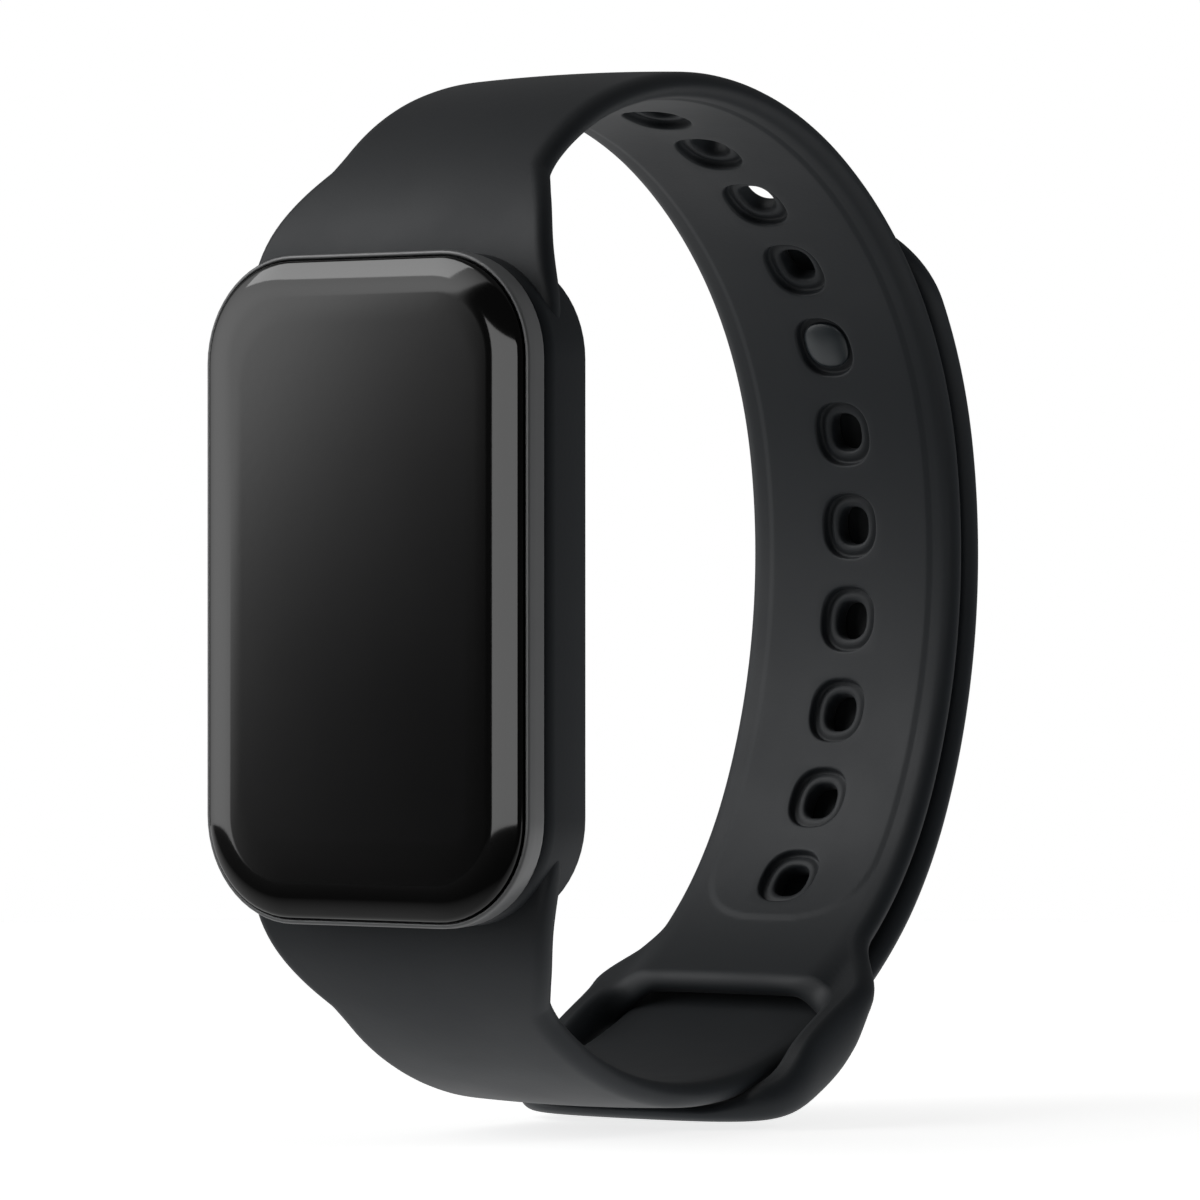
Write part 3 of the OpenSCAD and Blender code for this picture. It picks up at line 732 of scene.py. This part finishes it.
def cover_material(colours):
    """Moulded polycarbonate with a finer, glossier finish, where the back rests on the skin."""
    return finish("fine_polycarbonate", tuple(colours.cover), 0.3, 6, 0.06, 0.25, 0.0015, IOR=1.58)[0]


def lens_material(colours):
    """Tinted, polished polycarbonate over the heart-rate sensor: nearly black, with a mirror-like dome."""
    return finish("tinted_lens", tuple(colours.glass), 0.05, 8, 0.1, 0.5, 0.0002, IOR=1.58, Coat_Weight=0.3,
                  Coat_Roughness=0.03)[0]


def board_material(hex_value):
    """Fibreglass circuit board under green solder mask: a fine grid of copper tracks shows as paler lines 0.4 mm
    apart through the semi-gloss mask."""
    rgb = linear(hex_value)
    material, tree, shader, _, place = finish("solder_mask_board", rgb, 0.32, 2, 0.12, 0.2, 0.003)
    tracks = add_node(tree, "ShaderNodeTexBrick", {"Vector": place, "Scale": 1 / (1.6 * MM), "Mortar Size": 0.05,
                                                   "Color1": (*rgb, 1), "Color2": (*[c * 0.85 for c in rgb], 1),
                                                   "Mortar": (*[min(c * 1.8, 1) for c in rgb], 1)})
    tree.links.new(tracks.outputs["Color"], shader.inputs["Base Color"])
    return material


# Nodes kept from the CAD: name, common name and finish, sRGB colour, roughness, metallic, patch size, change, grain
# size and grain depth in millimetres. The comment gives what each finish shows.
KEPT = (
    # soft grey film of acrylic glue, slightly cloudy
    (("glass_adhesive",), "acrylic_bonding_film", "#2a2a2a", 0.6, 0, 2, 0.1, 0.3, 0.004),
    # laminated display stack, dark and smooth with a faint cool cast
    (("display_panel",), "laminated_display", "#101214", 0.15, 0, 8, 0.06, 0.5, 0.0005),
    # amber polyimide film with a silky surface
    (("display_flex",), "polyimide_film", "#8a5216", 0.35, 0, 1.5, 0.12, 0.2, 0.002),
    # pressed rubber ring, dull charcoal
    (("back_cover_seal",), "pressed_seal_rubber", "#2c2e30", 0.65, 0, 1.5, 0.1, 0.2, 0.008),
    # closed-cell foam with fine pores
    (("optical_barrier", "battery_pad"), "closed_cell_foam", "#1b1b1c", 0.9, 0, 1, 0.2, 0.18, 0.05),
    # clear green resin bodies of the lights
    (("sensor_leds",), "cast_led_resin", "#86c982", 0.15, 0, 0.8, 0.1, 0.2, 0.001),
    # coated silicon, dark violet
    (("photodiodes",), "coated_silicon", "#2c2e42", 0.12, 0, 0.8, 0.1, 0.2, 0.0005),
    # hard gold plate, gently worn where a charger touches it
    (("charging_contacts",), "gold_plate", "#c9a24a", 0.24, 1, 0.6, 0.12, 0.15, 0.001),
    # epoxy moulding compound with a fine matte skin
    (("processor_chip", "memory_chip", "radio_chip", "power_chip", "motion_sensor"), "moulded_epoxy", "#232527",
     0.55, 0, 1, 0.12, 0.12, 0.004),
    # bright tin plate with faint rolling marks
    (("shield_can", "motor_can"), "tin_plate", "#b4b7b9", 0.3, 1, 1.2, 0.12, 0.15, 0.001),
    # turned stainless steel, clean and bright
    (("board_screws", "motor_shaft"), "turned_steel", "#a5a8ab", 0.22, 1, 0.8, 0.1, 0.12, 0.001),
    # aluminium-plastic laminate pouch, satin silver with soft dents
    (("battery_cell",), "laminated_pouch", "#a7abb0", 0.38, 1, 3, 0.08, 1.2, 0.03),
    # sintered tungsten, dark grey and grainy
    (("motor_weight",), "sintered_tungsten", "#6d675c", 0.45, 1, 0.7, 0.12, 0.15, 0.006),
    # etched copper strip, warm and slightly tarnished
    (("antenna",), "etched_copper", "#b9713f", 0.3, 1, 1, 0.18, 0.2, 0.002),
)


def dress_kept_nodes():
    """Gives every node kept from the CAD its own material in all its slots."""
    for nodes, name, hex_value, rough, metal, patch, change, grain, depth in KEPT:
        material = finish(name, linear(hex_value), rough, patch, change, grain, depth, Metallic=float(metal))[0]
        for node in nodes:
            put_material(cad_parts[node], material)
    board = board_material("#1c5a3a")
    for node in ("main_board", "sensor_board", "battery_tab"):
        put_material(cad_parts[node], board)


def put_material(piece, material):
    """Fills all of a piece's slots with one material."""
    if not piece.data.materials:
        piece.data.materials.append(material)
    for slot in piece.material_slots:
        slot.material = material


# ---------------------------------------------------------------- operators

def settle(piece, body, slot, *replaced):
    """Rides a finished piece on its body and hides the CAD nodes it stands for; the slot it is given is not used."""
    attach(piece, body)
    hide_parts(*replaced)


def shared_silicone(scene):
    """The strap's one silicone material, made the first time it is asked for."""
    return bpy.data.materials.get("moulded_silicone") or silicone_material(scene.band_colours)


class BAND_OT_upper_strap(bpy.types.Operator):
    """Adds the hole strap with its adjustment holes and keeper loop"""
    bl_idname = "band.upper_strap"
    bl_label = "Upper strap"

    def execute(self, context):
        scene = context.scene
        piece = make_piece("band_with_loop", hole_strap_patches(scene.band_sizes), shared_silicone(scene))
        settle(piece, "strap", "silicone", "hole_strap", "keeper_loop")
        return {"FINISHED"}


class BAND_OT_lower_strap(bpy.types.Operator):
    """Adds the lower strap and its tail as one soft band"""
    bl_idname = "band.lower_strap"
    bl_label = "Lower strap and tail"

    def execute(self, context):
        scene = context.scene
        piece = make_piece("band_with_tail", tail_patches(scene.band_sizes), shared_silicone(scene))
        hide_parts("lower_strap", "strap_tail")
        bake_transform(piece)
        return {"FINISHED"}


class BAND_OT_cradle(bpy.types.Operator):
    """Adds the cradle that grips the module, and the soft rib inside it"""
    bl_idname = "band.cradle"
    bl_label = "Cradle"

    def execute(self, context):
        material = shared_silicone(context.scene)
        settle(make_piece("cradle", cradle_patches(), material), "strap", "silicone", "strap_cradle")
        settle(make_piece("cradle_rib", rib_patches(), material), "strap", "silicone", "cradle_lip")
        return {"FINISHED"}


class BAND_OT_stud(bpy.types.Operator):
    """Adds the stud that pins the tail to the hole strap"""
    bl_idname = "band.stud"
    bl_label = "Stud"

    def execute(self, context):
        scene = context.scene
        piece = make_piece("stud", stud_patches(scene.band_sizes), stud_material(scene.band_colours))
        settle(piece, "tail", "stud_plastic", "clasp_stud")
        return {"FINISHED"}


class BAND_OT_module(bpy.types.Operator):
    """Adds the tracker module's cover glass, housing, back cover and sensor window"""
    bl_idname = "band.module"
    bl_label = "Tracker module"

    def execute(self, context):
        sizes, colours = context.scene.band_sizes, context.scene.band_colours
        for name, patches, material, slot, node in (
                ("cover_glass", glass_patches(sizes), glass_material(colours), "cover_glass", "front_glass"),
                ("module_housing", rim_patches(sizes), rim_material(colours), "housing_plastic", "housing"),
                ("module_back", cover_patches(sizes), cover_material(colours), "cover_plastic", "back_cover"),
                ("sensor_lens", lens_patches(), lens_material(colours), "sensor_lens", "sensor_window")):
            settle(make_piece(name, patches, material), "tracker", slot, node)
        return {"FINISHED"}


class BAND_OT_inside(bpy.types.Operator):
    """Gives the parts inside the module their materials"""
    bl_idname = "band.inside"
    bl_label = "Inside parts"

    def execute(self, context):
        dress_kept_nodes()
        return {"FINISHED"}


def add_area(name, place, aim, size, power):
    """A rectangular softbox at place, turned to face aim."""
    light = bpy.data.lights.new(name, "AREA")
    light.shape = "RECTANGLE"
    light.size, light.size_y = size
    light.energy = power
    made = bpy.data.objects.new(name, light)
    made.location = place
    made.rotation_euler = (Vector(aim) - Vector(place)).to_track_quat("-Z", "Y").to_euler()
    bpy.context.scene.collection.objects.link(made)
    return made


def paper_material():
    """Matt white paper of the floor, which glows so that the camera sees it nearly white, with the object's soft
    contact shadow. In reflections and in the light it throws, its back half has a painted glow and its front half a
    painted shade, dark as a black flag in front of it would make it."""
    material, tree, shader, colour_out, place = finish("matt_white_paper", linear("#f4f4f3"), 0.9, 60, 0.01, 2.0,
                                                       0.01, Emission_Color=(1, 1, 1, 1))
    seen = add_node(tree, "ShaderNodeLightPath").outputs["Is Camera Ray"]
    depth = add_node(tree, "ShaderNodeSeparateXYZ", {"Vector": place}).outputs["Y"]
    # painted glow for reflections and thrown light: none over the front of the floor, a painted shade as of a black
    # flag, and a steady glow behind
    near = add_node(tree, "ShaderNodeMapRange", {"Value": depth, "From Min": -0.055, "From Max": -0.02,
                                                 "To Min": 0.0, "To Max": 0.75})
    lift = add_node(tree, "ShaderNodeMapRange", {"Value": seen, "To Min": near.outputs["Result"], "To Max": 0.76})
    tree.links.new(lift.outputs["Result"], shader.inputs["Emission Strength"])
    # painted shade: in reflections the paper is nearly black, while the camera sees its own pale colour
    paper_and_painted_shade = add_node(tree, "ShaderNodeMix", {0: seen, 6: (0.05, 0.05, 0.05, 1), 7: colour_out}, data_type="RGBA")
    tree.links.new(paper_and_painted_shade.outputs[2], shader.inputs["Base Color"])
    return material


# The studio's glow: it is brightest up and to the left of the line of sight mirrored in the cover glass, and falls
# away, by the same share for each degree, towards the lower right. It draws the gradient on the glass.
GLOW_MIDDLE, GLOW_FALL = (-0.606, -0.796, 0.0), (-52.5, 40.0, 41.0)
GLOW_LEVEL, GLOW_CAP, SURROUND = -1.6, 0.8, 0.05
FLOOR_GAP, FLOOR_RADIUS = 0.4, 300


class BAND_OT_stage(bpy.types.Operator):
    """Adds the pale floor, the soft lights, the surroundings and the camera"""
    bl_idname = "band.stage"
    bl_label = "Studio stage"

    def execute(self, context):
        scene, studio = context.scene, context.scene.band_studio
        floor_z = CAD_BOX[0][2] / MM - FLOOR_GAP
        angle = np.linspace(0, 2 * math.pi, 65)[None, :]
        reach = np.linspace(0, FLOOR_RADIUS, 20)[:, None]
        disc = np.stack([reach * np.cos(angle), reach * np.sin(angle), floor_z + 0 * (reach + angle)], axis=-1)
        make_piece("floor", [disc], paper_material())

        world = bpy.data.worlds.new("surroundings")
        world.use_nodes = True
        tree = world.node_tree
        tree.nodes.clear()
        seen = add_node(tree, "ShaderNodeLightPath").outputs["Is Camera Ray"]
        look = add_node(tree, "ShaderNodeTexCoord").outputs["Generated"]
        fall = add_node(tree, "ShaderNodeVectorMath", {0: look, 1: GLOW_FALL}, operation="DOT_PRODUCT")
        level = compute(tree, "ADD", fall.outputs["Value"], GLOW_LEVEL)
        glow = compute(tree, "POWER", math.e, compute(tree, "MINIMUM", level, GLOW_CAP))
        facing = add_node(tree, "ShaderNodeVectorMath", {0: look, 1: GLOW_MIDDLE}, operation="DOT_PRODUCT")
        share = add_node(tree, "ShaderNodeMapRange", {"Value": facing.outputs["Value"], "From Min": 0.4,
                                                      "From Max": 0.97, "To Min": 0.03, "To Max": 1.0})
        light = compute(tree, "ADD", compute(tree, "MULTIPLY", glow, share.outputs["Result"]), SURROUND)
        strength = add_node(tree, "ShaderNodeMapRange", {"Value": seen, "To Min": light, "To Max": 1.0})
        sky = add_node(tree, "ShaderNodeBackground", {"Color": (1, 1, 1, 1), "Strength": strength.outputs["Result"]})
        add_node(tree, "ShaderNodeOutputWorld", {"Surface": sky.outputs[0]})
        scene.world = world
        scene.view_settings.view_transform = "Standard"

        add_area("right_softbox", (0.5, 0.35, 0.25), (0, 0, 0), (0.3, 0.4), 0.7).visible_glossy = False
        for name, place, size, power in (("side_strip", (0.05, -0.7, 0.0), (0.66, 0.3), 1.5),
                                         ("front_strip", (-0.38, -0.32, 0.48), (0.44, 0.44), 1.8)):
            add_area(name, place, (0, -0.02, 0), size, power).visible_diffuse = False

        data = bpy.data.cameras.new("camera")
        data.lens, data.sensor_width, data.clip_start, data.clip_end = studio.lens, 36, 0.01, 20
        camera = bpy.data.objects.new("camera", data)
        turn = studio.azimuth
        side = Vector((math.cos(turn), math.sin(turn), 0)) * studio.aim_side * MM
        back = Vector((math.sin(turn), -math.cos(turn), 0)) * studio.distance
        camera.location = side + back + Vector((0, 0, studio.aim_height * MM))
        camera.rotation_euler = (math.pi / 2, 0, turn)
        scene.collection.objects.link(camera)
        scene.camera = camera
        return {"FINISHED"}


class BAND_PT_panel(bpy.types.Panel):
    """Lists the band's operators and settings"""
    bl_idname = "BAND_PT_panel"
    bl_label = "Fitness tracker band"
    bl_space_type = "VIEW_3D"
    bl_region_type = "UI"
    bl_category = "Band"

    def draw(self, context):
        for step in STEPS:
            self.layout.operator(step.bl_idname)
        for group in (context.scene.band_sizes, context.scene.band_colours, context.scene.band_studio):
            box = self.layout.box()
            for name in group.__annotations__:
                box.prop(group, name)


STEPS = (BAND_OT_upper_strap, BAND_OT_lower_strap, BAND_OT_cradle, BAND_OT_stud, BAND_OT_module, BAND_OT_inside,
         BAND_OT_stage)
GROUPS = (("band_sizes", BandSizes), ("band_colours", BandColours), ("band_studio", StudioSettings))


def register():
    """Registers the property groups, the operators and the panel."""
    for name, group in GROUPS:
        bpy.utils.register_class(group)
        setattr(bpy.types.Scene, name, PointerProperty(type=group))
    for made in (*STEPS, BAND_PT_panel):
        bpy.utils.register_class(made)


def unregister():
    """Takes back what register added."""
    for made in (BAND_PT_panel, *reversed(STEPS)):
        bpy.utils.unregister_class(made)
    for name, group in reversed(GROUPS):
        delattr(bpy.types.Scene, name)
        bpy.utils.unregister_class(group)


def main():
    register()
    for step in STEPS:
        group, name = step.bl_idname.split(".")
        result = getattr(getattr(bpy.ops, group), name)()
        if "FINISHED" not in result:
            raise RuntimeError(step.bl_label + " did not finish")


if __name__ == "__main__":
    main()
